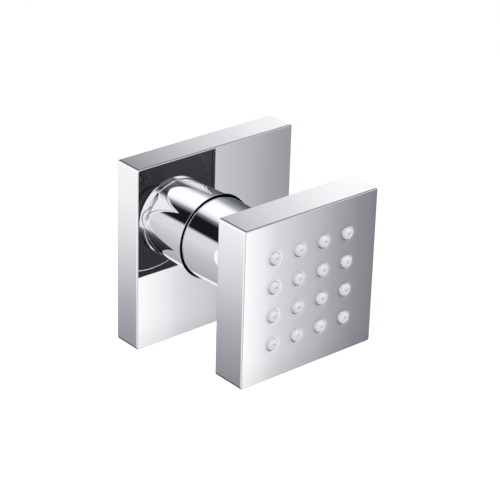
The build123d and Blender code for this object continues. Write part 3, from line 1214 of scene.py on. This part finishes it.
    def panels_behind(self, nodes: Nodes, across: Socket, along: Socket, upward: Socket) -> Socket:
        """White boxes beside a dark upright gap, darker towards the floor, under a grey ceiling.

        Args:
            nodes: Helper of the world's tree.
            across: Share of the direction along X.
            along: Share of the direction along Y.
            upward: Share of the direction along Z.

        Returns:
            The colour behind the object.
        """
        turn = nodes.math("ARCTAN2", across, along)
        turn = nodes.math("ADD", turn, nodes.span(upward, 0.38, 0.43, math.radians(1.2), math.radians(-1.8)))
        boxes = nodes.ramp(nodes.span(turn, -math.pi / 2.0, math.pi / 2.0), self.greys(-90.0, 90.0, (
            (-90, 1.0), (-22, 1.02), (-17, 0.6), (-11, 0.15), (-6, 0.06), (20, 0.05), (30, 0.1), (35, 0.18),
            (36.5, 0.32), (37.6, 0.434), (38.6, 0.565), (39.6, 0.7), (40.6, 0.777), (41.4, 0.87),
            (42.2, 0.945), (43.4, 1.03), (49, 1.0), (55, 0.1), (90, 0.08))))
        slant = nodes.math("SUBTRACT", upward, nodes.math("MULTIPLY", across, 0.3))
        left = nodes.ramp(nodes.span(slant, -0.7, -0.2), self.greys(-0.7, -0.2, (
            (-0.7, 0.02), (-0.51, 0.05), (-0.452, 0.07), (-0.384, 0.15), (-0.34, 0.225), (-0.326, 0.305),
            (-0.314, 0.38), (-0.301, 0.47), (-0.289, 0.6), (-0.279, 0.71), (-0.264, 0.85), (-0.254, 0.93),
            (-0.24, 0.965), (-0.22, 1.0))))
        right = nodes.ramp(nodes.span(upward, -0.6, 0.4), self.greys(-0.6, 0.4, (
            (-0.6, 0.012), (-0.5, 0.03), (-0.4, 0.043), (-0.25, 0.19), (-0.17, 0.27), (-0.1, 0.42),
            (-0.03, 0.63), (0.03, 0.79), (0.1, 0.9), (0.2, 1.0))))
        floor = nodes.mix(nodes.span(across, -0.2, 0.3, smooth=True), left, right)
        wall = nodes.mix(nodes.span(upward, 0.05, 0.25, smooth=True), floor, boxes)
        high = nodes.span(upward, *self.ceiling_span, smooth=True)
        ceiling = nodes.math("MULTIPLY", high, nodes.span(across, 0.0, 0.1))
        wall = nodes.mix(ceiling, wall, CEILING_GREY)
        overhead = nodes.math("MULTIPLY", ceiling, nodes.span(along, -0.15, 0.0, 1.0, 0.0))
        wall = nodes.mix(overhead, wall, OVERHEAD_GREY)
        return nodes.mix(nodes.span(across, *self.side_span, smooth=True), wall, SIDE_GREY)

    @staticmethod
    def greys(low: float, high: float, tones: Sequence[tuple[float, float]]) -> list[tuple[float, Colour]]:
        """Stops of a ramp in greys, the cooler the darker.

        Args:
            low: Value at the ramp's start.
            high: Value at the ramp's end.
            tones: Values and brightnesses, in order.

        Returns:
            Positions and colours of the stops.
        """
        stops = []
        for value, tone in tones:
            cool = max(0.0, 1.0 - tone)
            red, green, blue = 1.0 - 0.066 * cool, 1.0 - 0.03 * cool, 1.0 + 0.09 * cool
            stops.append(((value - low) / (high - low), (tone * red, tone * green, tone * blue)))
        return stops

    def card(self, name: str, corners: Sequence[tuple[float, float, float]], material: bpy.types.Material
             ) -> bpy.types.Object:
        """Adds a flat four-sided card.

        Args:
            name: Name of the card.
            corners: Its corners in order, in metres.
            material: What it is made of.

        Returns:
            The card.
        """
        mesh = bpy.data.meshes.new(name)
        mesh.from_pydata([Vector(c) for c in corners], [], [(0, 1, 2, 3)])
        mesh.materials.append(material)
        made = bpy.data.objects.new(name, mesh)
        bpy.context.scene.collection.objects.link(made)
        return made

    def front_card(self) -> None:
        """Adds the card that the two front faces show: white on one side, grey on the other.

        From the third reflection on it stays dark, so that no streak of it runs through the mirrored back.
        """
        made = bpy.data.materials.new("front_card")
        made.use_nodes = True
        nodes = Nodes(made.node_tree)
        made.node_tree.nodes.clear()
        out = nodes.add("ShaderNodeOutputMaterial")
        glow = nodes.add("ShaderNodeEmission")
        place = nodes.add("ShaderNodeTexCoord")
        across, _, upward = nodes.split(place.outputs["Object"])
        shade = nodes.ramp(nodes.span(across, 0.2, 0.46), self.greys(0.2, 0.46, (
            (0.2, 0.6), (0.28, 0.68), (0.318, 1.05), (0.326, 1.1), (0.334, 1.03), (0.34, 0.965),
            (0.345, 0.915), (0.349, 0.86), (0.353, 0.79), (0.358, 0.73), (0.364, 0.695), (0.378, 0.59),
            (0.386, 0.545), (0.394, 0.49), (0.402, 0.42), (0.411, 0.37), (0.422, 0.305), (0.432, 0.27),
            (0.437, 0.24), (0.443, 0.06), (0.46, 0.05))))
        dim = nodes.ramp(nodes.span(upward, -0.345, -0.322), self.greys(-0.345, -0.322, (
            (-0.345, 0.14), (-0.336, 0.1), (-0.33, 0.04), (-0.322, 0.0))))
        shade = nodes.mix(dim, shade, BLACK)
        path = nodes.add("ShaderNodeLightPath")
        deep = nodes.span(path.outputs["Ray Depth"], *self.deep_span)
        nodes.join(nodes.mix(deep, shade, DEEP_GREY), glow.inputs["Color"])
        nodes.join(glow.outputs[0], out.inputs["Surface"])
        (left, right), (low, high) = self.card_across, self.card_upward
        places = ((left, low), (right, low), (right, high), (left, high))
        card = self.card("front_card", [(x, self.card_station, z) for x, z in places], made)
        card.visible_camera = False
        card.visible_diffuse = False
        card.visible_shadow = False
        card.visible_transmission = False

    def floor(self) -> None:
        """Adds the pale floor, which shows white and keeps a soft shadow."""
        made = bpy.data.materials.new("pale_floor")
        made.use_nodes = True
        nodes = Nodes(made.node_tree)
        shader = made.node_tree.nodes["Principled BSDF"]
        shader.inputs["Base Color"].default_value = (*FLOOR_PAINT, 1.0)
        shader.inputs["Roughness"].default_value = 0.9
        shader.inputs["Emission Color"].default_value = (*WHITE, 1.0)
        path = nodes.add("ShaderNodeLightPath")
        plain = nodes.math("MAXIMUM", path.outputs["Is Camera Ray"], path.outputs["Is Transmission Ray"])
        nodes.join(nodes.math("MULTIPLY", plain, 0.5), shader.inputs["Emission Strength"])
        side, level = self.floor_side, self.floor_level
        corners = [(x * side, y * side, level) for x, y in ((-1, -1), (1, -1), (1, 1), (-1, 1))]
        floor = self.card("floor", corners, made)
        floor.visible_glossy = False


def main() -> None:
    """Builds the studio and each sub-assembly in order."""
    logging.basicConfig(level=logging.INFO, format="%(name)s: %(message)s")
    for assembly in (Studio(), WallSide(), BallJoint(), SprayHead()):
        assembly.build()
        LOG.info("built %s", type(assembly).__name__)


if __name__ == "__main__":
    main()
